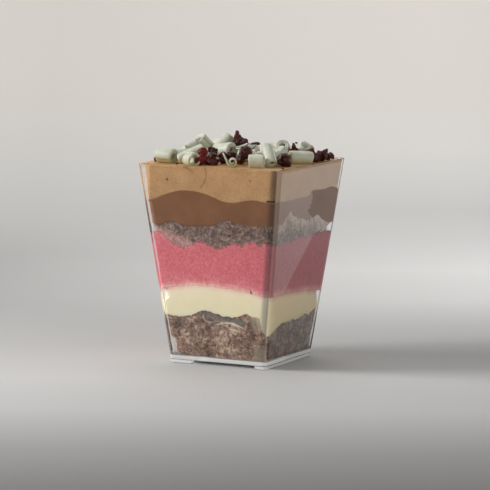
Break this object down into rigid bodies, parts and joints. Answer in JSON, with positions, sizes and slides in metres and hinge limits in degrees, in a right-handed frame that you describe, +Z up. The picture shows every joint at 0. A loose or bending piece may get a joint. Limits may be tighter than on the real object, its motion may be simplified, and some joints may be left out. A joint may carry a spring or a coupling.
{
  "type": "cherry chocolate cake cup",
  "caption": "Square tapered clear dessert cup filled with layers of sponge, cream and mousse, topped with white chocolate curls and dried cherry pieces.",
  "frame": {"origin": "middle of the cup's foot, on the surface that it stands on", "axes": "+Z up out of the cup, -Y towards the wide flat side with the low arch that the picture shows on the left, +X towards the side that it shows on the right"},
  "size_m": [0.0586, 0.0586, 0.0859],
  "materials": {
    "clear_plastic": "clear gloss",
    "base_sponge": "open sponge crumb",
    "vanilla_cream": "smooth cream",
    "cherry_mousse": "fine mousse with small bubbles",
    "dark_sponge": "moist open sponge crumb",
    "caramel_cream": "smooth dense cream",
    "chocolate_mousse": "fine pale mousse",
    "white_chocolate": "satin, finely grained",
    "dried_cherry": "moist and wrinkled"
  },
  "bodies": {
    "root": {"cup": "clear_plastic", "base_sponge": "base_sponge", "vanilla_cream": "vanilla_cream", "cherry_mousse": "cherry_mousse", "dark_sponge": "dark_sponge", "caramel_cream": "caramel_cream", "chocolate_mousse": "chocolate_mousse", "cherry_01": "dried_cherry", "cherry_02": "dried_cherry", "cherry_03": "dried_cherry", "cherry_04": "dried_cherry", "cherry_05": "dried_cherry", "cherry_06": "dried_cherry", "cherry_07": "dried_cherry", "cherry_08": "dried_cherry", "cherry_09": "dried_cherry", "cherry_10": "dried_cherry", "cherry_11": "dried_cherry", "cherry_12": "dried_cherry", "cherry_13": "dried_cherry", "cherry_14": "dried_cherry", "cherry_15": "dried_cherry", "cherry_16": "dried_cherry", "cherry_17": "dried_cherry", "cherry_18": "dried_cherry", "cherry_19": "dried_cherry", "curl_01": "white_chocolate", "curl_02": "white_chocolate", "curl_03": "white_chocolate", "curl_04": "white_chocolate", "curl_05": "white_chocolate", "curl_06": "white_chocolate", "curl_07": "white_chocolate", "curl_08": "white_chocolate", "curl_09": "white_chocolate", "curl_10": "white_chocolate", "curl_11": "white_chocolate", "curl_12": "white_chocolate", "curl_13": "white_chocolate", "curl_14": "white_chocolate", "curl_15": "white_chocolate", "curl_16": "white_chocolate", "curl_17": "white_chocolate", "curl_18": "white_chocolate", "curl_19": "white_chocolate", "curl_20": "white_chocolate", "curl_21": "white_chocolate", "curl_22": "white_chocolate", "curl_23": "white_chocolate", "curl_24": "white_chocolate", "curl_25": "white_chocolate", "curl_26": "white_chocolate", "curl_27": "white_chocolate", "curl_28": "white_chocolate", "curl_29": "white_chocolate", "scroll_01": "white_chocolate"}
  },
  "joints": []
}
